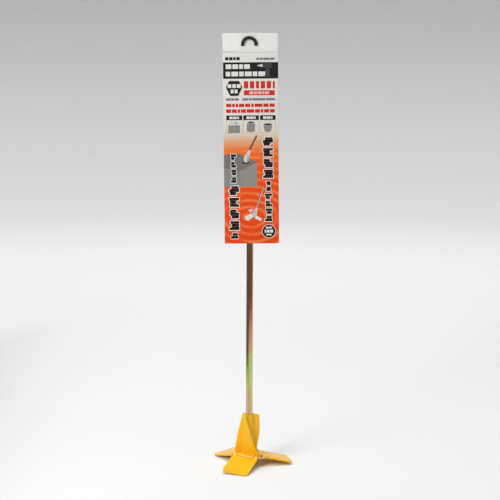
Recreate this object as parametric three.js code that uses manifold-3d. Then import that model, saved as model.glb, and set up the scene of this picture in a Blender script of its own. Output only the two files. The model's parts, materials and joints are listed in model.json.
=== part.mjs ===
// Drill paint mixer with three folding blades, standing on its blade tips.
// Units are millimetres, +Z is up. The origin is the centre of the shank's top end face,
// and the tool hangs down from it along -Z. Everything below is first placed by its height
// above the surface that the blade tips stand on, and the whole group is then lowered.

import * as THREE from "three";
import { mergeVertices } from "three/addons/utils/BufferGeometryUtils.js";
import Module from "manifold-3d";

const wasm = await Module();
wasm.setup();

// ---- driving dimensions ----

// Hexagon bar shaft
const SHANK_END_HEIGHT = 419;
const SHAFT_BOTTOM_HEIGHT = 12.8;
const HEX_ACROSS_FLATS = 6.35;
const HEX_FACE_ANGLE = 47;
const END_CHAMFER = 0.7;
const GROOVE_FROM_END = 11;
const GROOVE_BOTTOM_RADIUS = 2.35;
const GROOVE_ARC_RADIUS = 2;
const TAPPED_DEPTH = 11;

// Hub: three fins that twist on the way down into a three-cornered base
const HUB_TOP_HEIGHT = 52.5;
const BASE_TOP_HEIGHT = 12;
const BASE_BOTTOM_HEIGHT = 8.4;
const BASE_CORNER_RADIUS = 15.2;
const HUB_LEVELS = 36;
const HUB_TOP_CHAMFER = 0.9;
const HUB_COLLAR_RADIUS = 5.6;
const BLADE_COUNT = 3;
const FIRST_BLADE_ANGLE = 250.4;

// Blades and their hinges
const BLADE_WIDTH = 26.8;
const BLADE_LENGTH = 33;
const BLADE_THICKNESS = 2;
const TIP_CORNER_RADIUS = 3;
const BLADE_DROOP = 14;
const BLADE_PITCH = 4.4;
const HINGE_RADIUS = 10.2;
const HINGE_HEIGHT = 9.9;
const BARREL_RADIUS = 2.4;
const BARREL_LENGTH = 17.4;
const WEB_LENGTH = 4.4;
const WEB_BOTTOM = -1.4;
const WEB_TOP = 2;
const EAR_RADIUS = 2.3;
const HEEL_HEIGHT = 2.1;
const EAR_SPAN = 26.4;
const PIN_RADIUS = 1.25;
const PIN_LENGTH = 25.6;

// Screw and washer that hold the hub on the shaft
const SCREW_RADIUS = 1.9;
const SCREW_REACH = 13;
const SCREW_HEAD_HEIGHT = 2.2;
const SCREW_HEAD_STEPS = [[2.2, 0], [3.2, 0.5], [3.6, 1.3], [3.6, SCREW_HEAD_HEIGHT]];
const SCREW_TIP_CHAMFER = 0.5;
const CROSS_HALF_LENGTH = 2.2;
const CROSS_HALF_WIDTH = 0.45;
const CROSS_DEPTH = 1.2;
const WASHER_RADIUS = 4.5;
const WASHER_THICKNESS = 0.8;

// Cardboard sleeve over the shank and its hang loop
const CARD_WIDTH = 54.5;
const CARD_HEIGHT = 208.2;
const CARD_BOTTOM_HEIGHT = 229.9;
const CARD_THICKNESS = 0.5;
const CARD_LEAN = 0.74;
const CARD_SHIFT = 0.55;
const POCKET_FRONT_Y = -4;
const POCKET_DEPTH = 8.3;
const POCKET_HALF_FLAT = 6.5;
const POCKET_HALF_WIDTH = 17;
const POCKET_FULL_HEIGHT = 189.7;
const POCKET_CLOSED_HEIGHT = 201;
const PINCHED_SHARE = 0.02;
const FOLD_OUTSET = 0.4;
const LOOP_OUTER_RADIUS = 8.1;
const LOOP_INNER_RADIUS = 4.9;
const LOOP_CENTRE_HEIGHT = 197.2;
const LOOP_OFFSET = -1;
const LOOP_THICKNESS = 1.5;
const LOOP_LEG_HEIGHT = 1.6;
const LOOP_BAR_THICKNESS = 1;
const LOOP_BAR_DROP = 2.8;
const LOOP_BAR_OVERHANG = 1.4;
const SLIT_HEIGHT = 195.6;

// Clear space between pieces that touch or turn in each other
const GAP = 0.3;

// How far a cutting body runs past the face that it cuts
const OVERCUT = 1;

// How far two bodies that are joined into one run into each other
const SEAM = 0.01;

// Sides of round surfaces
const TURNED_SIDES = 48;
const BARREL_SIDES = 28;
const PIN_SIDES = 24;
const HOLE_SIDES = 20;
const ARCH_SIDES = 24;
const CORNER_SIDES = 8;

// ---- materials ----

const platedSteel = new THREE.MeshStandardMaterial({ color: 0xb59a66, roughness: 0.35, metalness: 1 });
const plainSteel = new THREE.MeshStandardMaterial({ color: 0xb9bbbe, roughness: 0.3, metalness: 1 });
const yellowPlastic = new THREE.MeshStandardMaterial({ color: 0xf7b81c, roughness: 0.4, metalness: 0 });
const printedCard = new THREE.MeshStandardMaterial({ color: 0xe8622a, roughness: 0.7, metalness: 0 });
const blackPlastic = new THREE.MeshStandardMaterial({ color: 0x1b1b18, roughness: 0.45, metalness: 0 });

// ---- helpers ----

const radians = THREE.MathUtils.degToRad;

function solid(geometry) {
  const bare = geometry.clone();
  bare.deleteAttribute("normal");
  bare.deleteAttribute("uv");
  const merged = mergeVertices(bare, 1e-5);
  return new wasm.Manifold(new wasm.Mesh({
    numProp: 3,
    vertProperties: new Float32Array(merged.attributes.position.array),
    triVerts: new Uint32Array(merged.index.array),
  }));
}

function namedMesh(name, body, material) {
  const { vertProperties, triVerts } = body.getMesh();
  const geometry = new THREE.BufferGeometry();
  geometry.setAttribute("position", new THREE.BufferAttribute(new Float32Array(vertProperties), 3));
  geometry.setIndex(new THREE.BufferAttribute(new Uint32Array(triVerts), 1));
  geometry.computeVertexNormals();
  const mesh = new THREE.Mesh(geometry, material);
  mesh.name = name;
  return mesh;
}

function polar(radius, degrees) {
  return new THREE.Vector2(radius * Math.cos(radians(degrees)), radius * Math.sin(radians(degrees)));
}

// A closed body through a stack of outlines that all have the same number of points.
function loft(outlines, heights) {
  const count = outlines[0].length;
  const positions = [];
  outlines.forEach((outline, level) => {
    outline.forEach((point) => positions.push(point.x, point.y, heights[level]));
  });
  const index = [];
  for (let level = 0; level + 1 < outlines.length; level += 1) {
    for (let i = 0; i < count; i += 1) {
      const a = level * count + i;
      const b = level * count + ((i + 1) % count);
      index.push(a, b, b + count);
      index.push(a, b + count, a + count);
    }
  }
  const top = (outlines.length - 1) * count;
  for (const [a, b, c] of THREE.ShapeUtils.triangulateShape(outlines[0], [])) {
    index.push(c, b, a);
  }
  for (const [a, b, c] of THREE.ShapeUtils.triangulateShape(outlines[outlines.length - 1], [])) {
    index.push(top + a, top + b, top + c);
  }
  const geometry = new THREE.BufferGeometry();
  geometry.setAttribute("position", new THREE.Float32BufferAttribute(positions, 3));
  geometry.setIndex(index);
  return solid(geometry);
}

function prism(outline, bottom, top) {
  return loft([outline, outline], [bottom, top]);
}

function box(x0, x1, y0, y1, z0, z1) {
  const geometry = new THREE.BoxGeometry(x1 - x0, y1 - y0, z1 - z0);
  geometry.translate((x0 + x1) / 2, (y0 + y1) / 2, (z0 + z1) / 2);
  return solid(geometry);
}

// A cylinder along Z between two heights.
function post(radius, bottom, top, sides = BARREL_SIDES) {
  const geometry = new THREE.CylinderGeometry(radius, radius, top - bottom, sides);
  geometry.rotateX(Math.PI / 2);
  geometry.translate(0, 0, (bottom + top) / 2);
  return solid(geometry);
}

// A cylinder along Y, centred on the origin.
function roller(radius, length, sides = BARREL_SIDES) {
  return solid(new THREE.CylinderGeometry(radius, radius, length, sides));
}

function placed(body, matrix) {
  return body.transform(matrix.toArray());
}

function hexagon(acrossFlats) {
  const cornerRadius = acrossFlats / Math.sqrt(3);
  return [30, 90, 150, 210, 270, 330].map((angle) => polar(cornerRadius, HEX_FACE_ANGLE + angle));
}

// ---- hexagon shaft ----

function buildShaft() {
  const bar = prism(hexagon(HEX_ACROSS_FLATS), SHAFT_BOTTOM_HEIGHT, SHANK_END_HEIGHT);
  const fullRadius = HEX_ACROSS_FLATS / Math.sqrt(3) + GAP;
  const endRadius = fullRadius - GAP - END_CHAMFER;
  const chamferProfile = [
    new THREE.Vector2(0, SHAFT_BOTTOM_HEIGHT),
    new THREE.Vector2(endRadius, SHAFT_BOTTOM_HEIGHT),
    new THREE.Vector2(fullRadius, SHAFT_BOTTOM_HEIGHT + END_CHAMFER),
    new THREE.Vector2(fullRadius, SHANK_END_HEIGHT - END_CHAMFER),
    new THREE.Vector2(endRadius, SHANK_END_HEIGHT),
    new THREE.Vector2(0, SHANK_END_HEIGHT),
  ];
  const turned = new THREE.LatheGeometry(chamferProfile, TURNED_SIDES);
  turned.rotateX(Math.PI / 2);
  const ringRadius = GROOVE_BOTTOM_RADIUS + GROOVE_ARC_RADIUS;
  const groove = new THREE.TorusGeometry(ringRadius, GROOVE_ARC_RADIUS, HOLE_SIDES, TURNED_SIDES);
  groove.translate(0, 0, SHANK_END_HEIGHT - GROOVE_FROM_END);
  const holeBottom = SHAFT_BOTTOM_HEIGHT - OVERCUT;
  const holeTop = SHAFT_BOTTOM_HEIGHT + TAPPED_DEPTH;
  const tappedHole = post(SCREW_RADIUS + GAP, holeBottom, holeTop, HOLE_SIDES);
  const body = bar.intersect(solid(turned)).subtract(solid(groove)).subtract(tappedHole);
  return namedMesh("hex_shaft", body, platedSteel);
}

// ---- hub ----

// One third of the hub's outline at five heights, going clockwise: the fin's leading ridge,
// its trailing ridge and three points of the valley before the next fin. Each is [radius, angle].
const HUB_SECTIONS = [
  { height: 12, points: [[15.2, 310.4], [8.2, 214], [5.9, 207], [5.7, 190], [8.2, 178]] },
  { height: 19, points: [[14.4, 298], [8.8, 217], [5.7, 208], [5.6, 190], [7.4, 174]] },
  { height: 25, points: [[13.4, 289], [9.6, 223], [5.6, 212], [5.5, 191], [6.6, 170]] },
  { height: 35, points: [[12.1, 275], [10.8, 235.5], [5.4, 224], [5.3, 192], [5.5, 160]] },
  { height: 52.5, points: [[10.3, 247], [10.3, 233.5], [5.2, 225], [5.2, 180], [5.2, 136]] },
];
const hubSections = new THREE.CubicInterpolant(
  HUB_SECTIONS.map((section) => section.height),
  HUB_SECTIONS.flatMap((section) => section.points.flat()),
  HUB_SECTIONS[0].points.length * 2,
);

function hubOutline(height) {
  const values = [...hubSections.evaluate(height)];
  const points = [];
  for (let fin = 0; fin < BLADE_COUNT; fin += 1) {
    for (let i = 0; i < values.length; i += 2) {
      points.push(polar(values[i], values[i + 1] - (360 / BLADE_COUNT) * fin));
    }
  }
  return points.reverse();
}

function twistedFins() {
  const outlines = [];
  const heights = [];
  for (let level = 0; level <= HUB_LEVELS; level += 1) {
    const height = THREE.MathUtils.lerp(BASE_TOP_HEIGHT, HUB_TOP_HEIGHT, level / HUB_LEVELS);
    outlines.push(hubOutline(height));
    heights.push(height);
  }
  return loft(outlines, heights).intersect(hubEnvelope());
}

// A turned body whose top edge slopes, which takes the corners off the fins' upper ends.
function hubEnvelope() {
  const topRadius = hubSections.evaluate(HUB_TOP_HEIGHT)[0];
  const reach = BASE_CORNER_RADIUS + OVERCUT;
  const slope = HUB_TOP_CHAMFER / (topRadius - HUB_COLLAR_RADIUS);
  const profile = [
    new THREE.Vector2(0, BASE_BOTTOM_HEIGHT),
    new THREE.Vector2(reach, BASE_BOTTOM_HEIGHT),
    new THREE.Vector2(reach, HUB_TOP_HEIGHT - slope * (reach - HUB_COLLAR_RADIUS)),
    new THREE.Vector2(HUB_COLLAR_RADIUS, HUB_TOP_HEIGHT),
    new THREE.Vector2(0, HUB_TOP_HEIGHT),
  ];
  const turned = new THREE.LatheGeometry(profile, TURNED_SIDES);
  turned.rotateX(Math.PI / 2);
  return solid(turned);
}

function hingeBarrel() {
  const barrel = roller(BARREL_RADIUS, BARREL_LENGTH);
  const web = box(-WEB_LENGTH, 0, -BARREL_LENGTH / 2, BARREL_LENGTH / 2, WEB_BOTTOM, WEB_TOP);
  return barrel.add(web);
}

function buildHub() {
  const baseCorners = [60, 180, 300].map((angle) => polar(BASE_CORNER_RADIUS, FIRST_BLADE_ANGLE + angle));
  let body = twistedFins().add(prism(baseCorners, BASE_BOTTOM_HEIGHT, BASE_TOP_HEIGHT + SEAM));
  for (let blade = 0; blade < BLADE_COUNT; blade += 1) {
    body = body.add(placed(hingeBarrel(), hingeFrame(blade)));
  }
  const pinHole = roller(PIN_RADIUS + GAP, BLADE_WIDTH, HOLE_SIDES);
  for (let blade = 0; blade < BLADE_COUNT; blade += 1) {
    body = body.subtract(placed(pinHole, hingeFrame(blade)));
  }
  const boreBottom = SHAFT_BOTTOM_HEIGHT - GAP;
  const hexBore = prism(hexagon(HEX_ACROSS_FLATS + GAP), boreBottom, HUB_TOP_HEIGHT + OVERCUT);
  const holeBottom = BASE_BOTTOM_HEIGHT - OVERCUT;
  const screwHole = post(SCREW_RADIUS + GAP, holeBottom, SHAFT_BOTTOM_HEIGHT, HOLE_SIDES);
  return namedMesh("hub", body.subtract(hexBore).subtract(screwHole), yellowPlastic);
}

// ---- blades and hinge pins ----

// The hinge's own frame: X points outward, Y runs along the hinge axis, Z is up from it.
function hingeFrame(blade) {
  const angle = radians(FIRST_BLADE_ANGLE + (360 / BLADE_COUNT) * blade);
  const matrix = new THREE.Matrix4().makeTranslation(0, 0, HINGE_HEIGHT);
  matrix.multiply(new THREE.Matrix4().makeRotationZ(angle));
  matrix.multiply(new THREE.Matrix4().makeTranslation(HINGE_RADIUS, 0, 0));
  matrix.multiply(new THREE.Matrix4().makeRotationX(radians(-BLADE_PITCH)));
  return matrix;
}

function bladePlate() {
  const half = BLADE_WIDTH / 2;
  const corner = TIP_CORNER_RADIUS;
  const outline = new THREE.Shape();
  outline.moveTo(0, -half);
  outline.lineTo(BLADE_LENGTH - corner, -half);
  outline.absarc(BLADE_LENGTH - corner, corner - half, corner, -Math.PI / 2, 0, false);
  outline.absarc(BLADE_LENGTH - corner, half - corner, corner, 0, Math.PI / 2, false);
  outline.lineTo(0, half);
  const plate = new THREE.ExtrudeGeometry(outline, {
    depth: BLADE_THICKNESS,
    bevelEnabled: false,
    curveSegments: CORNER_SIDES,
  });
  plate.translate(0, 0, -BLADE_THICKNESS / 2);
  const roomHalf = BARREL_LENGTH / 2 + GAP;
  const roomEnd = BARREL_RADIUS + GAP;
  return solid(plate).subtract(box(-OVERCUT, roomEnd, -roomHalf, roomHalf, -roomEnd, roomEnd));
}

// Each ear has a square heel that meets the hub's side and stops the blade from lifting further.
function bladeEar(side) {
  const inner = BARREL_LENGTH / 2 + GAP;
  const outer = EAR_SPAN / 2;
  const middle = (side * (inner + outer)) / 2;
  const halfWidth = (outer - inner) / 2;
  const ring = roller(EAR_RADIUS, outer - inner);
  const heel = box(-EAR_RADIUS, 0, -halfWidth, halfWidth, 0, HEEL_HEIGHT);
  return ring.add(heel).translate([0, middle, 0]);
}

function buildBlade(blade) {
  const droop = new THREE.Matrix4().makeRotationY(radians(BLADE_DROOP));
  const body = placed(bladePlate(), droop)
    .add(bladeEar(-1))
    .add(bladeEar(1))
    .subtract(roller(PIN_RADIUS + GAP, BLADE_WIDTH + OVERCUT, HOLE_SIDES));
  return namedMesh(`blade_${blade + 1}`, placed(body, hingeFrame(blade)), yellowPlastic);
}

function buildPin(blade) {
  const body = placed(roller(PIN_RADIUS, PIN_LENGTH, PIN_SIDES), hingeFrame(blade));
  return namedMesh(`hinge_pin_${blade + 1}`, body, plainSteel);
}

// ---- retaining screw and washer ----

function buildWasher() {
  const top = BASE_BOTTOM_HEIGHT - GAP;
  const bottom = top - WASHER_THICKNESS;
  const hole = post(SCREW_RADIUS + GAP, bottom - OVERCUT, top + OVERCUT, HOLE_SIDES);
  return namedMesh("screw_washer", post(WASHER_RADIUS, bottom, top).subtract(hole), plainSteel);
}

function buildScrew() {
  const headTop = BASE_BOTTOM_HEIGHT - WASHER_THICKNESS - 2 * GAP;
  const headBottom = headTop - SCREW_HEAD_HEIGHT;
  const tipBottom = headTop + SCREW_REACH;
  const tipTop = tipBottom + SCREW_TIP_CHAMFER;
  const profile = [
    new THREE.Vector2(0, headBottom),
    ...SCREW_HEAD_STEPS.map(([radius, rise]) => new THREE.Vector2(radius, headBottom + rise)),
    new THREE.Vector2(SCREW_RADIUS, headTop),
    new THREE.Vector2(SCREW_RADIUS, tipBottom),
    new THREE.Vector2(SCREW_RADIUS - SCREW_TIP_CHAMFER, tipTop),
    new THREE.Vector2(0, tipTop),
  ];
  const turned = new THREE.LatheGeometry(profile, PIN_SIDES);
  turned.rotateX(Math.PI / 2);
  const [long, wide] = [CROSS_HALF_LENGTH, CROSS_HALF_WIDTH];
  const [bottom, top] = [headBottom - OVERCUT, headBottom + CROSS_DEPTH];
  const cross = box(-long, long, -wide, wide, bottom, top).add(box(-wide, wide, -long, long, bottom, top));
  return namedMesh("retaining_screw", solid(turned).subtract(cross), plainSteel);
}

// ---- cardboard sleeve and hang loop, drawn from the sleeve's own bottom edge ----

// The sleeve is folded from one sheet: a flat front, and a back that is glued to it along both
// sides and stands off in the middle by a fraction of the pocket's depth.
function sleeveOutline(fraction) {
  const back = POCKET_FRONT_Y + CARD_THICKNESS;
  const rise = POCKET_DEPTH * fraction;
  return [
    new THREE.Vector2(-CARD_WIDTH / 2, POCKET_FRONT_Y - CARD_THICKNESS),
    new THREE.Vector2(CARD_WIDTH / 2, POCKET_FRONT_Y - CARD_THICKNESS),
    new THREE.Vector2(CARD_WIDTH / 2, back),
    new THREE.Vector2(POCKET_HALF_WIDTH + FOLD_OUTSET, back),
    new THREE.Vector2(POCKET_HALF_FLAT + FOLD_OUTSET / 2, back + rise),
    new THREE.Vector2(-POCKET_HALF_FLAT - FOLD_OUTSET / 2, back + rise),
    new THREE.Vector2(-POCKET_HALF_WIDTH - FOLD_OUTSET, back),
    new THREE.Vector2(-CARD_WIDTH / 2, back),
  ];
}

function pocketOutline(fraction) {
  const rise = POCKET_DEPTH * fraction;
  return [
    new THREE.Vector2(-POCKET_HALF_WIDTH, POCKET_FRONT_Y),
    new THREE.Vector2(POCKET_HALF_WIDTH, POCKET_FRONT_Y),
    new THREE.Vector2(POCKET_HALF_FLAT, POCKET_FRONT_Y + rise),
    new THREE.Vector2(-POCKET_HALF_FLAT, POCKET_FRONT_Y + rise),
  ];
}

function buildCard() {
  const outer = loft(
    [sleeveOutline(1), sleeveOutline(1), sleeveOutline(PINCHED_SHARE), sleeveOutline(PINCHED_SHARE)],
    [0, POCKET_FULL_HEIGHT, POCKET_CLOSED_HEIGHT, CARD_HEIGHT],
  );
  const pocket = loft(
    [pocketOutline(1), pocketOutline(1), pocketOutline(PINCHED_SHARE)],
    [-OVERCUT, POCKET_FULL_HEIGHT, POCKET_CLOSED_HEIGHT],
  );
  const loopMiddle = (LOOP_OUTER_RADIUS + LOOP_INNER_RADIUS) / 2;
  const halfLeg = (LOOP_OUTER_RADIUS - LOOP_INNER_RADIUS) / 2 + GAP;
  const slitFront = POCKET_FRONT_Y - CARD_THICKNESS - OVERCUT;
  const slitBack = POCKET_FRONT_Y + GAP;
  const slitTop = SLIT_HEIGHT + LOOP_LEG_HEIGHT + GAP;
  let body = outer.subtract(pocket);
  for (const side of [-1, 1]) {
    const x = LOOP_OFFSET + side * loopMiddle;
    body = body.subtract(box(x - halfLeg, x + halfLeg, slitFront, slitBack, SLIT_HEIGHT - GAP, slitTop));
  }
  return namedMesh("hang_card", body, printedCard);
}

function buildLoop() {
  const outline = new THREE.Shape();
  outline.moveTo(LOOP_OUTER_RADIUS, SLIT_HEIGHT - LOOP_CENTRE_HEIGHT);
  outline.absarc(0, 0, LOOP_OUTER_RADIUS, 0, Math.PI, false);
  outline.lineTo(-LOOP_OUTER_RADIUS, SLIT_HEIGHT - LOOP_CENTRE_HEIGHT);
  outline.lineTo(-LOOP_INNER_RADIUS, SLIT_HEIGHT - LOOP_CENTRE_HEIGHT);
  outline.absarc(0, 0, LOOP_INNER_RADIUS, Math.PI, 0, true);
  outline.lineTo(LOOP_INNER_RADIUS, SLIT_HEIGHT - LOOP_CENTRE_HEIGHT);
  const arch = new THREE.ExtrudeGeometry(outline, {
    depth: LOOP_THICKNESS,
    bevelEnabled: false,
    curveSegments: ARCH_SIDES,
  });
  arch.rotateX(Math.PI / 2);
  const archFront = POCKET_FRONT_Y - CARD_THICKNESS - GAP - LOOP_THICKNESS;
  arch.translate(0, archFront + LOOP_THICKNESS, LOOP_CENTRE_HEIGHT);
  let body = solid(arch);
  const barBack = POCKET_FRONT_Y + GAP + LOOP_BAR_THICKNESS;
  const legTop = SLIT_HEIGHT + LOOP_LEG_HEIGHT;
  for (const side of [-1, 1]) {
    const legStart = Math.min(side * LOOP_INNER_RADIUS, side * LOOP_OUTER_RADIUS);
    const legEnd = Math.max(side * LOOP_INNER_RADIUS, side * LOOP_OUTER_RADIUS);
    body = body.add(box(legStart, legEnd, archFront, barBack, SLIT_HEIGHT, legTop));
  }
  const barHalf = LOOP_OUTER_RADIUS + LOOP_BAR_OVERHANG;
  const barBottom = SLIT_HEIGHT - LOOP_BAR_DROP;
  const bar = box(-barHalf, barHalf, POCKET_FRONT_Y + GAP, barBack, barBottom, legTop);
  return namedMesh("hang_loop", body.add(bar).translate([LOOP_OFFSET, 0, 0]), blackPlastic);
}

// ---- assembly ----

const mixer = new THREE.Group();
mixer.position.z = -SHANK_END_HEIGHT;
mixer.add(buildShaft(), buildHub(), buildWasher(), buildScrew());
for (let blade = 0; blade < BLADE_COUNT; blade += 1) {
  mixer.add(buildBlade(blade), buildPin(blade));
}

const sleeve = new THREE.Group();
sleeve.position.set(CARD_SHIFT + (CARD_HEIGHT / 2) * Math.sin(radians(CARD_LEAN)), 0, CARD_BOTTOM_HEIGHT);
sleeve.rotation.y = -radians(CARD_LEAN);
sleeve.add(buildCard(), buildLoop());
mixer.add(sleeve);

export default mixer;
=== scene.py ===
import json
import math
import bmesh
import bpy
from mathutils import Matrix, Vector


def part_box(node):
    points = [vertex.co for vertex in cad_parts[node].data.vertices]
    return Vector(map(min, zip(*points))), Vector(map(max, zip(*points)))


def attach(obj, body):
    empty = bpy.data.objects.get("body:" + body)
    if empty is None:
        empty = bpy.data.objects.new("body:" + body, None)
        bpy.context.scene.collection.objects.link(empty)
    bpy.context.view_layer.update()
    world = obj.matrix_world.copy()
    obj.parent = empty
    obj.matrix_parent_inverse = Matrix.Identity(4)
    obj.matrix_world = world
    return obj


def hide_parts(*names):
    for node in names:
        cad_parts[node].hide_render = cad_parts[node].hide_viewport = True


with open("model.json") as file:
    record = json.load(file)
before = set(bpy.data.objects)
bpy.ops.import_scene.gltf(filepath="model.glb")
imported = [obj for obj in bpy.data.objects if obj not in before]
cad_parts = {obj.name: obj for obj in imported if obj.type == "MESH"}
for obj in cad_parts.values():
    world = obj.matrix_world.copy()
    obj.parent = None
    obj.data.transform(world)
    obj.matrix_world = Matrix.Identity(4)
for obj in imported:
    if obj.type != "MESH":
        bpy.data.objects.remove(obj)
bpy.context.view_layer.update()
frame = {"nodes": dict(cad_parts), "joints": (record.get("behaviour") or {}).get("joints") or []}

# Looks of a drill paint mixer with a hexagon bar, a twisted three-finned hub, three folding
# blades and a printed cardboard sleeve. Everything is in metres in the part's own frame:
# the origin is the middle of the bar's top end, and the tool hangs down from it along -Z.

MM = 0.001
MIXER = "mixer"
CARD = "card"
BLADES = ("blade_1", "blade_2", "blade_3")
FLOOR_Z = min(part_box(blade)[0].z for blade in BLADES)
BAR_LOW, BAR_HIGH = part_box("hex_shaft")

# Hexagon bar, in metres
ACROSS_FLATS = 6.35 * MM
CORNER_RADIUS = ACROSS_FLATS / math.sqrt(3)
FACE_ANGLE = math.radians(47)
EDGE_RADIUS = 0.45 * MM
END_CHAMFER = 0.7 * MM
GROOVE_FROM_END = 11 * MM
GROOVE_ARC_RADIUS = 2 * MM
GROOVE_BOTTOM_RADIUS = 2.35 * MM

# Softened plastic mouldings
MOULDING_VOXEL = 0.25 * MM
MOULDING_PASSES = 4
MOULDING_KEPT_SHARE = 0.35

# Cardboard sleeve, in millimetres from the middle of its lower edge
CARD_WIDTH = 54.5
CARD_HEIGHT = 208.2
CARD_LEAN = math.radians(0.74)
CARD_SHIFT = 0.55
CARD_BOTTOM = 229.9
CARD_FACE = -4.5
SHEET = 0.5
POCKET_DEPTH = 8.3
POCKET_HALF_FLAT = 6.5
POCKET_HALF_WIDTH = 17
POCKET_FULL = 189.7
POCKET_CLOSED = 201
PINCH_EASE = 6
PINCHED_SHARE = 0.02
FOLD_OUTSET = 0.4
INK_STEP = 0.05
INK_SEAT = 0.02
BACK_FIRST_ROW = 14
BACK_ROWS = 54
BACK_PITCH = 2.9
BACK_BAR = 1.2
BACK_MARGIN = 1.6
BACK_LENGTHS = (7.6, 7.2, 7.8, 5.1, 0.1, 7.4, 6.9, 7.7, 7.3, 3.2, 0.1)

BACK_PATCH_LOW = 176
BACK_PATCH_HIGH = 188
BACK_PATCH_MARGIN = 0.6
BACK_PATCH_GAP = 1

# Hang loop, in the sleeve's millimetres
LOOP_RADIUS = 6.5
LOOP_CENTRE = Vector((-1, 197.2))
STRAP_HALF_WIDTH = 1.6
STRAP_HALF_THICKNESS = 0.75
SLIT_HEIGHT = 196.4
LOOP_BEND = 1.0
LOOP_STAND_OFF = 0.3
LOOP_TAIL = 0.9

# Pale floor and the curved wall round it, in metres
STAGE_RADIUS = 1.6
STAGE_HEIGHT = 0.95

# Dark cloths that no camera sees, in metres from the tool
FRONT_FLAG = 0.56
FRONT_FLAG_END = 1
LEFT_FLAG = 0.4
LEFT_FLAG_END = 0.4
FLAG_HEIGHT = 0.2
FLAG_COLOUR = (0.27, 0.23, 0.2)

# Pins, in metres
PIN_RADIUS = 1.25 * MM
PIN_LENGTH = 25.6 * MM


# ---- camera ----

CAMERA_DISTANCE = 1.5
CAMERA_HEIGHT = 0.074
CAMERA_PITCH = math.radians(10.22)
CAMERA_ROLL = math.radians(0.26)
CAMERA_LENS = 109.5


def make_camera():
    data = bpy.data.cameras.new("camera")
    data.lens = CAMERA_LENS
    data.sensor_width = 36
    camera = bpy.data.objects.new("camera", data)
    bpy.context.scene.collection.objects.link(camera)
    camera.matrix_world = (
        Matrix.Translation((0, -CAMERA_DISTANCE, CAMERA_HEIGHT))
        @ Matrix.Rotation(math.radians(90) - CAMERA_PITCH, 4, "X")
        @ Matrix.Rotation(CAMERA_ROLL, 4, "Z")
    )
    bpy.context.scene.camera = camera


# ---- materials ----


class Shader:
    """Builds one material round its Principled shader."""

    def __init__(self, name, **sockets):
        self.material = bpy.data.materials.new(name)
        self.material.use_nodes = True
        self.tree = self.material.node_tree
        self.surface = self.tree.nodes["Principled BSDF"]
        for socket, value in sockets.items():
            self.surface.inputs[socket.replace("_", " ")].default_value = value

    def node(self, kind, settings=None, **inputs):
        made = self.tree.nodes.new("ShaderNode" + kind)
        for key, value in (settings or {}).items():
            setattr(made, key, value)
        for key, value in inputs.items():
            socket = made.inputs[int(key[1:])] if key[1:].isdigit() else made.inputs[key.replace("_", " ")]
            if isinstance(value, bpy.types.NodeSocket):
                self.tree.links.new(value, socket)
            else:
                socket.default_value = value
        return made

    def link(self, value, socket):
        self.tree.links.new(value, self.surface.inputs[socket])

    def place(self, scale=(1, 1, 1)):
        """The piece's own coordinates, in metres, scaled."""
        source = self.node("TexCoord").outputs["Object"]
        return self.node("Mapping", Vector=source, Scale=scale).outputs["Vector"]

    def noise(self, scale, detail=3, stretch=(1, 1, 1)):
        made = self.node("TexNoise", Vector=self.place(stretch), Scale=scale, Detail=detail)
        return made.outputs["Fac"]

    def math(self, operation, a, b, clamp=False):
        made = self.node("Math", {"operation": operation, "use_clamp": clamp}, _0=a, _1=b)
        return made.outputs["Value"]

    def spread(self, value, low, high, from_low=0.0, from_high=1.0):
        made = self.node(
            "MapRange", Value=value, From_Min=from_low, From_Max=from_high, To_Min=low, To_Max=high
        )
        return made.outputs["Result"]

    def ramp(self, value, stops):
        made = self.node("ValToRGB", Fac=value)
        elements = made.color_ramp.elements
        while len(elements) < len(stops):
            elements.new(0.5)
        for element, (position, colour) in zip(elements, stops):
            element.position = position
            element.color = (*colour, 1)
        return made.outputs["Color"]

    def mix(self, factor, a, b):
        return self.node("MixRGB", Fac=factor, Color1=a, Color2=b).outputs["Color"]

    def bump(self, height, strength, distance):
        made = self.node("Bump", Height=height, Strength=strength, Distance=distance)
        self.link(made.outputs["Normal"], "Normal")


def srgb(red, green, blue):
    """A display colour, 0 to 255, as a linear one."""
    shares = (red / 255, green / 255, blue / 255)
    return tuple(((c + 0.055) / 1.055) ** 2.4 if c > 0.04 else c / 12.92 for c in shares)


def opaque(colour):
    return (*colour, 1)


def plated_steel():
    """Yellow-chromate zinc: brass to pink, with a greenish stretch, as the film's thickness drifts."""
    shader = Shader("plated_steel", Metallic=1.0)
    height = shader.node("SeparateXYZ", Vector=shader.place()).outputs["Z"]
    drift = shader.noise(38, 3, (1.6, 1.6, 0.8))
    fraction = shader.spread(height, 0, 1, FLOOR_Z, FLOOR_Z + 0.26)
    drifted = shader.math("ADD", fraction, shader.spread(drift, -0.05, 0.05, 0.3, 0.7))
    film = shader.ramp(
        drifted,
        [
            (0.0, (0.56, 0.40, 0.21)),
            (0.25, (0.62, 0.46, 0.24)),
            (0.32, (0.60, 0.60, 0.22)),
            (0.37, (0.46, 0.62, 0.17)),
            (0.42, (0.56, 0.60, 0.22)),
            (0.46, (0.64, 0.47, 0.22)),
            (0.54, (0.70, 0.42, 0.24)),
            (0.72, (0.66, 0.38, 0.22)),
            (1.0, (0.58, 0.40, 0.24)),
        ],
    )
    speckle = shader.noise(900, 4, (1, 1, 0.35))
    dulled = shader.mix(shader.spread(speckle, 0, 0.2, 0.45, 0.75), film, opaque((0.36, 0.24, 0.13)))
    shader.link(dulled, "Base Color")
    shader.link(shader.spread(shader.noise(260, 3), 0.08, 0.18, 0.3, 0.7), "Roughness")
    shader.bump(shader.noise(3000, 2, (1, 1, 0.02)), 0.05, 0.05 * MM)
    return shader.material


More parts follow.
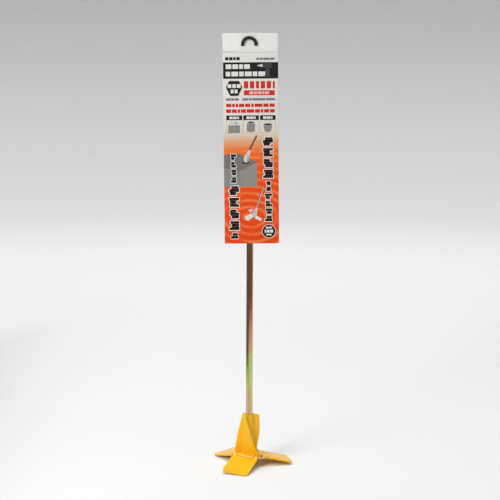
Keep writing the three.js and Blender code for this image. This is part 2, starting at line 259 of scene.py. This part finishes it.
def bright_zinc():
    shader = Shader("bright_zinc", Metallic=1.0)
    tone = shader.noise(500, 3)
    shader.link(shader.ramp(tone, [(0.35, (0.46, 0.47, 0.49)), (0.7, (0.62, 0.62, 0.62))]), "Base Color")
    shader.link(shader.spread(shader.noise(900, 2), 0.2, 0.4, 0.3, 0.7), "Roughness")
    shader.bump(shader.noise(2500, 2), 0.08, 0.05 * MM)
    return shader.material


def yellow_plastic():
    """Glossy moulded polypropylene that lets a little light through its thin plates."""
    shader = Shader(
        "yellow_plastic",
        Subsurface_Weight=0.16,
        Subsurface_Scale=3 * MM,
        Subsurface_Radius=(1.0, 0.25, 0.02),
        IOR=1.45,
    )
    flow = shader.noise(70, 3, (1, 1, 0.5))
    shader.link(shader.ramp(flow, [(0.3, (0.97, 0.49, 0.002)), (0.7, (0.99, 0.55, 0.005))]), "Base Color")
    shader.link(shader.spread(shader.noise(420, 3), 0.2, 0.3, 0.3, 0.7), "Roughness")
    shader.bump(shader.noise(900, 2), 0.04, 0.05 * MM)
    return shader.material


def black_plastic():
    shader = Shader("black_plastic", IOR=1.5)
    tone = shader.noise(300, 3)
    shader.link(shader.ramp(tone, [(0.3, srgb(20, 20, 16)), (0.7, srgb(34, 34, 28))]), "Base Color")
    shader.link(shader.spread(shader.noise(700, 2), 0.35, 0.5, 0.3, 0.7), "Roughness")
    shader.bump(shader.noise(2200, 2), 0.2, 0.05 * MM)
    return shader.material


def add_paper_grain(shader, strength=0.12):
    shader.link(shader.spread(shader.noise(800, 3), 0.42, 0.56, 0.3, 0.7), "Roughness")
    shader.bump(shader.noise(1800, 4, (1, 1, 0.6)), strength, 0.04 * MM)


def bare_card():
    """Uncoated inside and cut edges of the card."""
    shader = Shader("bare_card")
    fibre = shader.noise(1500, 4, (1, 1, 0.4))
    shader.link(shader.ramp(fibre, [(0.3, srgb(205, 200, 188)), (0.7, srgb(226, 223, 213))]), "Base Color")
    add_paper_grain(shader, 0.2)
    return shader.material


def printed_front():
    """Cream paper over an orange panel with the rings of stirred paint, and painted light: the glued header
    at the top is painted lighter.
    """
    shader = Shader("printed_front", IOR=1.35)
    place = shader.place()
    axes = shader.node("SeparateXYZ", Vector=place)
    fraction = shader.math("DIVIDE", axes.outputs["Z"], CARD_HEIGHT * MM)
    paper_with_painted_header_light = shader.ramp(
        fraction,
        [
            (0.0, srgb(236, 66, 0)),
            (0.36, srgb(240, 78, 4)),
            (0.445, srgb(240, 112, 36)),
            (0.49, srgb(226, 168, 122)),
            (0.53, srgb(226, 214, 196)),
            (0.6, srgb(228, 225, 216)),
            # painted light: these last stops paint the glued header lighter and whiter than the panel below
            (0.9, srgb(230, 229, 221)),
            (0.93, srgb(236, 236, 232)),
        ],
    )
    centre = (-2 * MM, 0, 26 * MM)
    offset = shader.node("VectorMath", {"operation": "SUBTRACT"}, _0=place, _1=centre).outputs["Vector"]
    squashed = shader.node("Mapping", Vector=offset, Scale=(1, 0, 1.5)).outputs["Vector"]
    rings = shader.node(
        "TexWave",
        {"wave_type": "RINGS", "rings_direction": "SPHERICAL"},
        Vector=squashed,
        Scale=30.0,
        Distortion=4.5,
        Detail=2.0,
        Detail_Scale=0.6,
    ).outputs["Fac"]
    streak = shader.spread(rings, 0, 0.34, 0.5, 1.0)
    patchy = shader.math("MULTIPLY", streak, shader.spread(shader.noise(55, 3), 0.1, 1.6, 0.3, 0.7), True)
    below = shader.spread(fraction, 1, 0, 0.42, 0.5)
    painted = shader.math("MULTIPLY", patchy, below, True)
    shader.link(shader.mix(painted, paper_with_painted_header_light, opaque(srgb(250, 178, 108))), "Base Color")
    add_paper_grain(shader)
    return shader.material


def ink(name, colour):
    """One printed colour, uneven by a little, as ink on coated card is."""
    shader = Shader("ink_" + name, IOR=1.35)
    darker = tuple(0.86 * c for c in srgb(*colour))
    shader.link(shader.ramp(shader.noise(1200, 3), [(0.3, darker), (0.65, srgb(*colour))]), "Base Color")
    add_paper_grain(shader, 0.06)
    return shader.material


def pale_stage():
    """Seamless pale floor; its colour is darker higher up the wall, as painted shade where less light
    reaches.
    """
    shader = Shader("pale_stage", Roughness=0.9, Specular_IOR_Level=0.1)
    height = shader.node("SeparateXYZ", Vector=shader.place()).outputs["Z"]
    fraction = shader.spread(height, 0, 1, FLOOR_Z, FLOOR_Z + STAGE_HEIGHT)
    # painted shade: the wall's colour darkens with height in place of the light falling off
    floor_and_painted_wall_shade = [(0.0, (0.88, 0.88, 0.88)), (0.1, (0.82, 0.82, 0.82)), (0.45, (0.62, 0.62, 0.62))]
    patches = shader.spread(shader.noise(3), 0, 0.03)
    shader.link(shader.mix(patches, shader.ramp(fraction, floor_and_painted_wall_shade), opaque((0.8, 0.8, 0.8))), "Base Color")
    return shader.material


# ---- mesh helpers ----


def object_from(name, mesh):
    made = bpy.data.objects.new(name, mesh)
    bpy.context.scene.collection.objects.link(made)
    return made


def from_bmesh(name, work, materials, sharp_angle=35):
    """Turns a bmesh into an object with soft shading up to the given edge angle, in degrees."""
    bmesh.ops.recalc_face_normals(work, faces=work.faces)
    mesh = bpy.data.meshes.new(name)
    work.to_mesh(mesh)
    work.free()
    for material in materials:
        mesh.materials.append(material)
    finish_shading(mesh, sharp_angle)
    return object_from(name, mesh)


def finish_shading(mesh, sharp_angle):
    mesh.shade_smooth()
    mesh.set_sharp_from_angle(angle=math.radians(sharp_angle))


def apply_modifiers(piece):
    graph = bpy.context.evaluated_depsgraph_get()
    mesh = bpy.data.meshes.new_from_object(piece.evaluated_get(graph))
    piece.modifiers.clear()
    piece.data = mesh


def add_loft(work, rings):
    """A closed body through rings of points that all have the same count."""
    made = [[work.verts.new(point) for point in ring] for ring in rings]
    count = len(made[0])
    for lower, upper in zip(made, made[1:]):
        for i in range(count):
            j = (i + 1) % count
            work.faces.new((lower[i], lower[j], upper[j], upper[i]))
    work.faces.new(made[0][::-1])
    work.faces.new(made[-1])


def arc(centre, radius, start, end, steps):
    """Points on an arc, with angles in degrees."""
    points = []
    for i in range(steps + 1):
        angle = math.radians(start + (end - start) * i / steps)
        points.append(Vector(centre) + radius * Vector((math.cos(angle), math.sin(angle))))
    return points


def rounded_corners(outline, radius, steps=4):
    """The outline with each corner replaced by an arc-like curve that touches both of its edges."""
    points = []
    count = len(outline)
    for i, corner in enumerate(outline):
        before = Vector(outline[i - 1])
        after = Vector(outline[(i + 1) % count])
        corner = Vector(corner)
        reach = min(radius, (before - corner).length / 2.2, (after - corner).length / 2.2)
        start = corner + (before - corner).normalized() * reach
        end = corner + (after - corner).normalized() * reach
        for step in range(steps + 1):
            t = step / steps
            points.append((1 - t) ** 2 * start + 2 * t * (1 - t) * corner + t**2 * end)
    return points


def place_piece(piece, body, slot, *nodes):
    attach(piece, body)
    if nodes:
        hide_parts(*nodes)
    return piece


# ---- hexagon bar ----


def hexagon_ring(height, corner_limit):
    """The bar's rounded hexagon at a height, cut back to a circle where it is turned down."""
    corners = []
    for i in range(6):
        angle = FACE_ANGLE + math.radians(30 + 60 * i)
        corners.append(CORNER_RADIUS * Vector((math.cos(angle), math.sin(angle))))
    ring = []
    for point in rounded_corners(corners, EDGE_RADIUS, 3):
        ring.append(point)
        if len(ring) % 4 == 0:
            following = corners[(len(ring) // 4) % 6]
            ring.extend(point.lerp(following, share) for share in (0.25, 0.45, 0.65))
    cut = [point if point.length <= corner_limit else point.normalized() * corner_limit for point in ring]
    return [(point.x, point.y, height) for point in cut]


def make_bar(material):
    low, high = BAR_LOW.z, BAR_HIGH.z
    rings = [
        hexagon_ring(low, CORNER_RADIUS - END_CHAMFER),
        hexagon_ring(low + END_CHAMFER, CORNER_RADIUS),
        hexagon_ring(low + 2 * END_CHAMFER, CORNER_RADIUS),
    ]
    groove_middle = high - GROOVE_FROM_END
    rings.append(hexagon_ring(groove_middle - GROOVE_ARC_RADIUS - END_CHAMFER, CORNER_RADIUS))
    rings.append(hexagon_ring(groove_middle - GROOVE_ARC_RADIUS, CORNER_RADIUS))
    steps = 12
    for i in range(1, steps):
        offset = math.cos(math.pi * i / steps) * GROOVE_ARC_RADIUS
        depth = math.sin(math.pi * i / steps) * GROOVE_ARC_RADIUS
        limit = GROOVE_BOTTOM_RADIUS + GROOVE_ARC_RADIUS - depth
        rings.append(hexagon_ring(groove_middle - offset, min(limit, CORNER_RADIUS)))
    rings.append(hexagon_ring(groove_middle + GROOVE_ARC_RADIUS, CORNER_RADIUS))
    rings.append(hexagon_ring(high - 2 * END_CHAMFER, CORNER_RADIUS))
    rings.append(hexagon_ring(high - END_CHAMFER, CORNER_RADIUS))
    rings.append(hexagon_ring(high, CORNER_RADIUS - END_CHAMFER))
    work = bmesh.new()
    add_loft(work, rings)
    return place_piece(from_bmesh("hexagon_bar", work, [material]), MIXER, "plated_steel", "hex_shaft")


# ---- plastic mouldings ----


def moulding(name, node, material):
    """A CAD piece's shape with the soft edges and fillets of a moulding."""
    piece = object_from(name, frame["nodes"][node].data.copy())
    remesh = piece.modifiers.new("remesh", "REMESH")
    remesh.mode = "VOXEL"
    remesh.voxel_size = MOULDING_VOXEL
    soften = piece.modifiers.new("soften", "SMOOTH")
    soften.factor = 0.5
    soften.iterations = MOULDING_PASSES
    thin = piece.modifiers.new("thin", "DECIMATE")
    thin.ratio = MOULDING_KEPT_SHARE
    apply_modifiers(piece)
    piece.data.materials.clear()
    piece.data.materials.append(material)
    finish_shading(piece.data, 50)
    return piece


def make_hub(material):
    hub = moulding("hub_moulding", "hub", material)
    return place_piece(hub, MIXER, "yellow_plastic", "hub")


def make_blades(material):
    for i, blade in enumerate(BLADES):
        piece = moulding(f"blade_moulding_{i + 1}", blade, material)
        place_piece(piece, blade, "yellow_plastic", blade)


# ---- hinge pins ----


def make_pins(material):
    """Headless pins with rounded ends, on the hinge axes."""
    profile = [
        (0, -PIN_LENGTH / 2),
        (PIN_RADIUS * 0.6, -PIN_LENGTH / 2 + 0.1 * MM),
        (PIN_RADIUS * 0.9, -PIN_LENGTH / 2 + 0.35 * MM),
        (PIN_RADIUS, -PIN_LENGTH / 2 + 0.8 * MM),
    ]
    profile += [(radius, -along) for radius, along in reversed(profile)]
    hinges = [joint for joint in frame["joints"] if joint["type"] == "hinge"]
    for i, joint in enumerate(hinges):
        work = bmesh.new()
        add_lathe(work, profile)
        piece = from_bmesh(f"hinge_pin_turned_{i + 1}", work, [material])
        turn = Vector(joint["axis"]).to_track_quat("Z", "Y").to_matrix().to_4x4()
        piece.matrix_world = Matrix.Translation(joint["pos_m"]) @ turn
        place_piece(piece, MIXER, "plain_steel", f"hinge_pin_{i + 1}")


def add_lathe(work, profile, sides=24):
    """A turned body about Z from (radius, height) pairs that start and end on the axis."""
    rings = []
    for radius, height in profile[1:-1]:
        ring = []
        for i in range(sides):
            angle = 2 * math.pi * i / sides
            ring.append((radius * math.cos(angle), radius * math.sin(angle), height))
        rings.append(ring)
    add_loft(work, rings)


# ---- cardboard sleeve ----

CARD_PLACE = (
    Matrix.Translation(
        (
            (CARD_SHIFT + CARD_HEIGHT / 2 * math.sin(CARD_LEAN)) * MM,
            0,
            FLOOR_Z + CARD_BOTTOM * MM,
        )
    )
    @ Matrix.Rotation(-CARD_LEAN, 4, "Y")
)


def card_ring(outline, height):
    return [(point.x * MM, point.y * MM, height * MM) for point in outline]


def sleeve_outline(share):
    """The folded sleeve's outside, with its back standing off by a share of the pocket's depth."""
    half = CARD_WIDTH / 2
    back = CARD_FACE + 2 * SHEET
    rise = POCKET_DEPTH * share
    corners = [
        (-half, CARD_FACE),
        (half, CARD_FACE),
        (half, back),
        (POCKET_HALF_WIDTH + FOLD_OUTSET, back),
        (POCKET_HALF_FLAT + FOLD_OUTSET / 2, back + rise),
        (-POCKET_HALF_FLAT - FOLD_OUTSET / 2, back + rise),
        (-POCKET_HALF_WIDTH - FOLD_OUTSET, back),
        (-half, back),
    ]
    return rounded_corners(corners, 1.2 * share + 0.3, 5)


def pocket_outline(share):
    front = CARD_FACE + SHEET
    rise = POCKET_DEPTH * share
    corners = [
        (-POCKET_HALF_WIDTH, front),
        (POCKET_HALF_WIDTH, front),
        (POCKET_HALF_FLAT, front + rise),
        (-POCKET_HALF_FLAT, front + rise),
    ]
    return rounded_corners(corners, 0.9 * share + 0.2, 5)


def pocket_shares():
    """Heights and standing-off shares from the sleeve's mouth to where the pocket pinches shut."""
    start = POCKET_FULL - PINCH_EASE
    levels = [(0, 1), (start, 1)]
    steps = 8
    for i in range(1, steps + 1):
        t = i / steps
        open_share = 0.5 + 0.5 * math.cos(math.pi * t)
        share = PINCHED_SHARE + (1 - PINCHED_SHARE) * open_share
        levels.append((start + (POCKET_CLOSED - start) * t, share))
    return levels


def cut_from(piece, work):
    """Cuts a closed bmesh out of a piece."""
    cutter = from_bmesh("cutter", work, [])
    cut = piece.modifiers.new("cut", "BOOLEAN")
    cut.operation = "DIFFERENCE"
    cut.solver = "EXACT"
    cut.object = cutter
    apply_modifiers(piece)
    bpy.data.objects.remove(cutter)


def make_sleeve(front, bare):
    work = bmesh.new()
    levels = pocket_shares() + [(CARD_HEIGHT, PINCHED_SHARE)]
    add_loft(work, [card_ring(sleeve_outline(share), height) for height, share in levels])
    sleeve = from_bmesh("card_sleeve", work, [front, bare])
    pocket = bmesh.new()
    inside = [(-1, 1)] + pocket_shares()[1:]
    add_loft(pocket, [card_ring(pocket_outline(share), height) for height, share in inside])
    cut_from(sleeve, pocket)
    for polygon in sleeve.data.polygons:
        faces_front = polygon.normal.y < -0.5
        on_front = polygon.center.y < CARD_FACE * 0.99 * MM
        polygon.material_index = 0 if faces_front and on_front else 1
    finish_shading(sleeve.data, 30)
    sleeve.matrix_world = CARD_PLACE
    return place_piece(sleeve, CARD, "printed_card", "hang_card")


# ---- what is printed on the card ----

# Each ink's colour as 8-bit red, green and blue
INK_COLOURS = {
    "orange": (236, 78, 10),
    "black": (30, 27, 26),
    "white": (236, 234, 228),
    "red": (214, 48, 34),
    "blush": (246, 188, 168),
    "violet": (138, 118, 142),
    "lilac": (204, 200, 214),
    "grey": (120, 120, 118),
    "shade": (176, 174, 168),
    "pale": (214, 212, 206),
    "steel": (142, 142, 138),
    "zinc": (150, 148, 140),
    "slate": (124, 122, 116),
    "charcoal": (72, 68, 70),
    "brown": (128, 84, 66),
}


class Print:
    """Collects flat ink shapes, in the sleeve's millimetres, and makes them one thin mesh."""

    def __init__(self, inks):
        self.inks = inks
        self.order = list(inks)
        self.work = bmesh.new()

    def shape(self, colour, layer, outline):
        area = sum(a[0] * b[1] - b[0] * a[1] for a, b in zip(outline, [*outline[1:], outline[0]]))
        outline = outline if area > 0 else outline[::-1]
        self.solid(colour, outline, CARD_FACE + INK_SEAT, CARD_FACE - INK_STEP * layer)

    def solid(self, colour, outline, start, end):
        """Ink between two depths, the first of which is inside the card."""
        rings = [[(u * MM, depth * MM, v * MM) for u, v in outline] for depth in (start, end)]
        first = len(self.work.faces)
        add_loft(self.work, rings)
        self.work.faces.ensure_lookup_table()
        for face in self.work.faces[first:]:
            face.material_index = self.order.index(colour)

    def bar(self, colour, layer, left, right, bottom, top, radius=0.0):
        corners = [(left, bottom), (right, bottom), (right, top), (left, top)]
        self.shape(colour, layer, rounded_corners(corners, radius, 3) if radius else corners)

    def disc(self, colour, layer, centre, across, up, sides=36):
        outline = []
        for i in range(sides):
            angle = 2 * math.pi * i / sides
            outline.append((centre[0] + across * math.cos(angle), centre[1] + up * math.sin(angle)))
        self.shape(colour, layer, outline)

    def stroke(self, colour, layer, start, end, width):
        along = (Vector(end) - Vector(start)).normalized() * width / 2
        side = Vector((-along.y, along.x))
        corners = [Vector(start) - side, Vector(end) - side, Vector(end) + side, Vector(start) + side]
        self.shape(colour, layer, corners)

    def frame(self, colour, layer, left, right, bottom, top, width):
        self.bar(colour, layer, left, right, bottom, bottom + width)
        self.bar(colour, layer, left, left + width, bottom + width, top)
        self.bar(colour, layer, right - width, right, bottom + width, top)

    def words(self, colour, layer, left, right, bottom, top, lengths):
        """A line of plain bars that stands for a line of print."""
        gap = 0.22 * (top - bottom)
        unit = (right - left - gap * (len(lengths) - 1)) / sum(lengths)
        start = left
        for length in lengths:
            self.bar(colour, layer, start, start + length * unit, bottom, top, 0.12 * (top - bottom))
            start += length * unit + gap

    def block(self, centre, width, height, turn=0):
        """Plain black bars with white keylines that stand for one big word of a column."""
        rows = 2 if height < 7.5 else 3
        rim = 0.75 if rows == 3 else 0.55
        row = height / rows
        for i in range(rows):
            inset = width * (0.0, 0.14, 0.05, 0.2)[(i + turn) % 4]
            shift = inset * (1 if (i + turn) % 3 else -1) * 0.6
            left = centre[0] - width / 2 + inset + shift
            right = centre[0] + width / 2 - inset + shift
            bottom = centre[1] - height / 2 + i * row
            self.bar("white", 5, left - rim, right + rim, bottom - rim * 0.7, bottom + row + rim * 0.4, 0.9)
            self.bar("black", 6, left, right, bottom + 0.12 * row, bottom + 0.86 * row, 0.4)

    def column(self, across, width, pitch, low, high):
        """Blocks of one size from the height low up to high."""
        count = max(1, round((high - low) / pitch))
        step = (high - low) / count
        for i in range(count):
            self.block((across, low + (i + 0.5) * step), width, step * 0.84, i)

    def back_bar(self, colour, left, right, bottom, top):
        """A bar on the flat borders beside the pocket, on the sleeve's back."""
        surface = CARD_FACE + 2 * SHEET
        corners = [(left, bottom), (right, bottom), (right, top), (left, top)]
        self.solid(colour, corners, surface - INK_SEAT, surface + INK_STEP)

    def build(self, name):
        piece = from_bmesh(name, self.work, [self.inks[key] for key in self.order], 30)
        piece.matrix_world = CARD_PLACE
        return place_piece(piece, CARD, "printed_card")


def print_header(art):
    art.bar("lilac", 1, -27, -11.5, 190.4, 190.9)
    art.bar("shade", 1, -27, 27, 189.3, 189.6)
    art.words("black", 1, -24.8, -10.4, 181.9, 184.9, (3, 3, 2, 3))
    art.words("grey", 1, 5.6, 23.4, 182.1, 184.2, (2, 2, 4, 3))


def print_band(art):
    art.bar("black", 1, -26.8, 27, 163.9, 179.8)
    art.words("white", 2, -24.3, -0.6, 173.4, 177.9, (3, 3, 2, 3))
    art.words("white", 2, -24.3, 14.4, 166.2, 170.8, (2, 3, 2, 3, 2, 3))
    print_drill(art)


def print_drill(art):
    """A plain silhouette of a pistol-grip drill."""
    art.shape("pale", 2, [(6.6, 176.4), (11.8, 175), (11.8, 178.2), (6.6, 176.9)])
    art.bar("charcoal", 2, 11.8, 21.2, 174.4, 178.9, 1)
    art.shape("charcoal", 2, [(14.6, 174.6), (19.2, 174.6), (18.4, 167.2), (14.9, 167.2)])
    art.bar("charcoal", 2, 13.6, 19.6, 165.4, 167.2, 0.5)


def print_titles(art):
    hexagon = [(-16.2 + 8.1 * x, 154.4 + 7.3 * y) for x, y in
               ((-1, 0.15), (-0.6, 1), (0.6, 1), (1, 0.15), (0.5, -1), (-0.5, -1))]
    art.shape("black", 1, hexagon)
    art.words("white", 2, -22.6, -9.8, 154.9, 158.6, (2, 2, 2))
    art.words("white", 2, -19.6, -12.8, 149.6, 153.4, (1, 1))
    art.words("red", 1, -6.6, 23.8, 154.2, 161.4, (2, 2, 1.5, 2, 2, 1))
    art.bar("red", 1, -6.6, 23.6, 147.5, 152.5)
    art.words("blush", 2, -1.4, 18, 148.6, 151.4, (2, 1.5, 2, 1, 2))
    art.words("violet", 1, -24.2, -11.6, 142.5, 144.8, (3, 2, 3))
    art.words("violet", 1, -8.4, 24, 142.5, 144.8, (2, 1, 4, 3))
    art.words("red", 1, -24.3, 23.6, 136.1, 139.4, (2, 1, 1, 2, 2, 1, 3, 2, 2))
    art.words("red", 1, -24.3, 23.6, 130.5, 133.9, (2, 2, 1, 2, 3, 2, 1, 2, 2))


def print_containers(art):
    """Three framed pictures: a square can, a round can and a bucket."""
    for left, right in ((-24.2, -8.6), (-7.4, 7.8), (9, 24.3)):
        art.bar("black", 1, left, right, 123.3, 127.9)
        art.words("white", 2, left + 3, right - 3, 124.4, 126.8, (2, 2, 1))
        art.frame("shade", 1, left, right, 110.2, 123.3, 0.35)
    art.bar("steel", 1, -22.4, -10.8, 110.7, 118.2)
    art.shape("pale", 1, [(-22.4, 118.4), (-10.8, 118.4), (-13, 122.2), (-20.6, 122.2)])
    art.bar("shade", 2, -16.9, -16.2, 110.9, 118)
    art.disc("charcoal", 2, (-14.8, 120.4), 1.1, 0.5, 20)
    art.shape("steel", 1, [(-4, 112.2), (0, 111.2), (4, 112.2), (4, 121), (-4, 121)])
    art.disc("pale", 2, (0, 121), 4.1, 1.5)
    art.disc("charcoal", 3, (0, 120.8), 2.9, 0.9)
    art.shape("steel", 1, [(13.6, 112), (16.6, 111.2), (19.6, 112), (21.2, 119), (12, 119)])
    art.disc("pale", 2, (16.6, 119), 4.8, 1.6)
    art.disc("charcoal", 3, (16.6, 118.8), 3.9, 1.1)
    for side in (-1, 1):
        art.stroke("shade", 1, (16.6 + 4.7 * side, 119.2), (16.6 + 2.2 * side, 122.4), 0.35)
    art.stroke("shade", 1, (14.4, 122.4), (18.8, 122.4), 0.35)


def print_can(art):
    """A square can with a small mouth, seen on its corner, with a mixer going in."""
    art.shape("steel", 1, [(-27, 75.9), (-11, 72.4), (-11, 57), (-27, 57)])
    art.shape("zinc", 1, [(-11, 72.4), (5.8, 81.4), (5.8, 57), (-11, 57)])
    art.shape("slate", 1, [(-27, 88.4), (-19, 90.6), (-12.8, 90.5), (5.8, 81.6), (-11, 72.6), (-27, 76.1)])
    art.disc("charcoal", 2, (-5.5, 81.4), 3.7, 1.7)
    art.stroke("brown", 2, (5.6, 108), (-1.8, 93.4), 1.7)
    art.shape("pale", 3, [(-2.9, 93.2), (-0.3, 93.9), (-2.6, 83), (-4.6, 80.9), (-7.6, 82.4), (-7.4, 86.4)])
    art.shape("shade", 4, [(-3.4, 88.4), (-2.4, 88), (-3.4, 82.6), (-4.3, 81.4)])


def print_mixer(art):
    """The same mixer with its blades out."""
    art.stroke("brown", 1, (12, 56), (5, 36.4), 1.5)
    art.stroke("pale", 2, (12, 56), (5, 36.4), 0.7)
    art.shape("pale", 1, [(-3.2, 34.2), (1.6, 35), (0.2, 31), (-3, 32.6)])
    art.shape("white", 2, [(-6.8, 27.4), (-0.2, 30.4), (2.4, 27.2), (-3.6, 22.8), (-6.4, 24.2)])
    art.shape("white", 2, [(3.4, 28.8), (10.4, 25), (8.8, 22.6), (3.2, 25.4)])
    art.shape("pale", 3, [(6.2, 36.2), (2.6, 34.6), (0.6, 28.4), (3.4, 26.8), (5, 29)])
    art.shape("shade", 4, [(3.2, 33.8), (3.9, 34), (3.3, 28), (2.7, 28.2)])


def print_columns(art):
    art.column(-17.6, 5.4, 7.4, 60.2, 90.6)
    art.column(-17.2, 9.8, 11.6, 12.4, 59.2)
    art.column(-17.2, 7.4, 8, 4.2, 11.6)
    art.column(16.6, 10, 10.8, 64.6, 107.4)
    art.column(16.7, 5, 5.6, 52.2, 63.4)
    art.column(16.9, 7, 7.4, 21.4, 51.2)
    art.disc("white", 1, (17, 12.3), 6.9, 6.9, 48)
    art.disc("black", 2, (17, 12.3), 6.4, 6.4, 48)
    art.words("white", 3, 14, 20, 15, 16.8, (2, 2))
    art.words("white", 3, 12.8, 21.2, 10.9, 13.9, (1, 2, 2))
    art.words("white", 3, 14.4, 19.6, 8, 9.6, (2, 2))


def print_back(art):
    """Invented plain bars on the two flat borders of the sleeve's back."""
    for side in (-1, 1):
        for row in range(BACK_ROWS):
            low = BACK_FIRST_ROW + row * BACK_PITCH
            length = BACK_LENGTHS[(row + (side > 0)) % len(BACK_LENGTHS)]
            start = side * (CARD_WIDTH / 2 - BACK_MARGIN)
            end = start - side * length
            art.back_bar("charcoal", min(start, end), max(start, end), low, low + BACK_BAR)
    outer = CARD_WIDTH / 2 - BACK_PATCH_MARGIN
    inner = POCKET_HALF_WIDTH + BACK_PATCH_GAP
    art.back_bar("orange", -outer, -inner, BACK_PATCH_LOW, BACK_PATCH_HIGH)
    art.back_bar("orange", inner, outer, BACK_PATCH_LOW, BACK_PATCH_HIGH)


def make_print():
    art = Print({name: ink(name, colour) for name, colour in INK_COLOURS.items()})
    print_header(art)
    print_band(art)
    print_titles(art)
    print_containers(art)
    print_can(art)
    print_mixer(art)
    print_columns(art)
    print_back(art)
    return art.build("card_print")


# ---- hang loop ----


def make_loop(material):
    """A flat strap bent to an arch, with both legs turned back through the card."""
    face = CARD_FACE - LOOP_STAND_OFF - STRAP_HALF_THICKNESS
    inside = CARD_FACE + SHEET + LOOP_TAIL
    path = []
    for point in arc(LOOP_CENTRE, LOOP_RADIUS, 180, 0, 40):
        outward = (point - LOOP_CENTRE).normalized()
        path.append((Vector((point.x, face, point.y)), Vector((outward.x, 0, outward.y))))
    for side in (-1, 1):
        across = Vector((side, 0, 0))
        foot = LOOP_CENTRE.x + side * LOOP_RADIUS
        leg = []
        for angle in range(0, 91, 15):
            turn = math.radians(angle)
            depth = face + LOOP_BEND * (1 - math.cos(turn))
            height = SLIT_HEIGHT + LOOP_BEND * (1 - math.sin(turn))
            leg.append((Vector((foot, depth, height)), across))
        leg.append((Vector((foot, inside, SLIT_HEIGHT)), across))
        path = leg[::-1] + path if side < 0 else path + leg
    work = bmesh.new()
    add_loft(work, strap_rings(path))
    loop = from_bmesh("loop_strap", work, [material])
    loop.matrix_world = CARD_PLACE
    return place_piece(loop, CARD, "black_plastic", "hang_loop")


def strap_rings(path):
    corners = [
        (-STRAP_HALF_WIDTH, -STRAP_HALF_THICKNESS),
        (STRAP_HALF_WIDTH, -STRAP_HALF_THICKNESS),
        (STRAP_HALF_WIDTH, STRAP_HALF_THICKNESS),
        (-STRAP_HALF_WIDTH, STRAP_HALF_THICKNESS),
    ]
    section = rounded_corners(corners, 0.45, 3)
    rings = []
    for i, (point, across) in enumerate(path):
        before = path[max(i - 1, 0)][0]
        after = path[min(i + 1, len(path) - 1)][0]
        through = (after - before).normalized().cross(across).normalized()
        rings.append([(point + across * x + through * y) * MM for x, y in section])
    return rings


# ---- stage and light ----


def make_stage(material):
    """A round floor that turns up into a wall on every side."""
    profile = [(0.02, 0), (0.4, 0), (STAGE_RADIUS, 0)]
    profile += [tuple(point) for point in arc((STAGE_RADIUS, STAGE_HEIGHT), STAGE_HEIGHT, -90, 0, 16)[1:]]
    profile.append((STAGE_RADIUS + STAGE_HEIGHT, 2 * STAGE_HEIGHT))
    sides = 96
    work = bmesh.new()
    rings = []
    for radius, height in profile:
        ring = []
        for i in range(sides):
            angle = 2 * math.pi * i / sides
            x, y = radius * math.cos(angle), radius * math.sin(angle)
            ring.append(work.verts.new((x, y, FLOOR_Z + height)))
        rings.append(ring)
    work.faces.new(rings[0])
    for inner, outer in zip(rings, rings[1:]):
        for i in range(sides):
            j = (i + 1) % sides
            work.faces.new((inner[i], outer[i], outer[j], inner[j]))
    mesh = bpy.data.meshes.new("studio_floor")
    work.to_mesh(mesh)
    work.free()
    mesh.materials.append(material)
    mesh.shade_smooth()
    object_from("studio_floor", mesh)


def make_flag(name, start, end):
    """A dark upright cloth on the floor, hidden from the camera but not from reflections."""
    shader = Shader(name, Base_Color=opaque(FLAG_COLOUR), Roughness=1.0, Specular_IOR_Level=0.0)
    lower = [(*start, FLOOR_Z), (*end, FLOOR_Z)]
    upper = [(x, y, z + FLAG_HEIGHT) for x, y, z in reversed(lower)]
    mesh = bpy.data.meshes.new(name)
    mesh.from_pydata(lower + upper, [], [(0, 1, 2, 3)])
    mesh.materials.append(shader.material)
    flag = object_from(name, mesh)
    flag.visible_camera = False
    flag.visible_diffuse = False


def make_flags():
    """Dark cloths in front and at the left, which the bar mirrors as it would a dark room."""
    make_flag("front_flag", (-LEFT_FLAG, -FRONT_FLAG), (FRONT_FLAG_END, -FRONT_FLAG))
    make_flag("left_flag", (-LEFT_FLAG, -FRONT_FLAG), (-LEFT_FLAG, LEFT_FLAG_END))


def make_light(name, place, target, size, power):
    data = bpy.data.lights.new(name, "AREA")
    data.shape = "RECTANGLE"
    data.size, data.size_y = size
    data.energy = power
    light = object_from(name, data)
    aim = (Vector(target) - Vector(place)).to_track_quat("-Z", "Y")
    light.matrix_world = Matrix.Translation(place) @ aim.to_matrix().to_4x4()


def make_world(strength):
    world = bpy.data.worlds.new("room")
    bpy.context.scene.world = world
    world.use_nodes = True
    background = world.node_tree.nodes["Background"]
    background.inputs["Color"].default_value = (1, 1, 1, 1)
    background.inputs["Strength"].default_value = strength


def finish_fasteners(material):
    """The washer and the screw keep their CAD shapes."""
    for node in ("screw_washer", "retaining_screw"):
        carried = frame["nodes"][node].data
        carried.materials.clear()
        carried.materials.append(material)


def main():
    bpy.context.scene.view_settings.view_transform = "Standard"
    make_camera()
    make_stage(pale_stage())
    make_flags()
    make_light("overhead", (0, 0.2, 1.4), (0, 0.2, FLOOR_Z), (1.8, 1.8), 28)
    make_light("left_softbox", (-0.85, -0.95, 0.55), (0, 0, -0.2), (0.6, 0.6), 11)
    make_light("wall_wash", (0, 1.1, 0.4), (0, 1.7, FLOOR_Z), (2.4, 0.3), 4)
    make_world(0.15)

    plastic = yellow_plastic()
    zinc = bright_zinc()
    make_bar(plated_steel())
    make_hub(plastic)
    make_blades(plastic)
    make_pins(zinc)
    finish_fasteners(zinc)
    make_sleeve(printed_front(), bare_card())
    make_print()
    make_loop(black_plastic())


main()
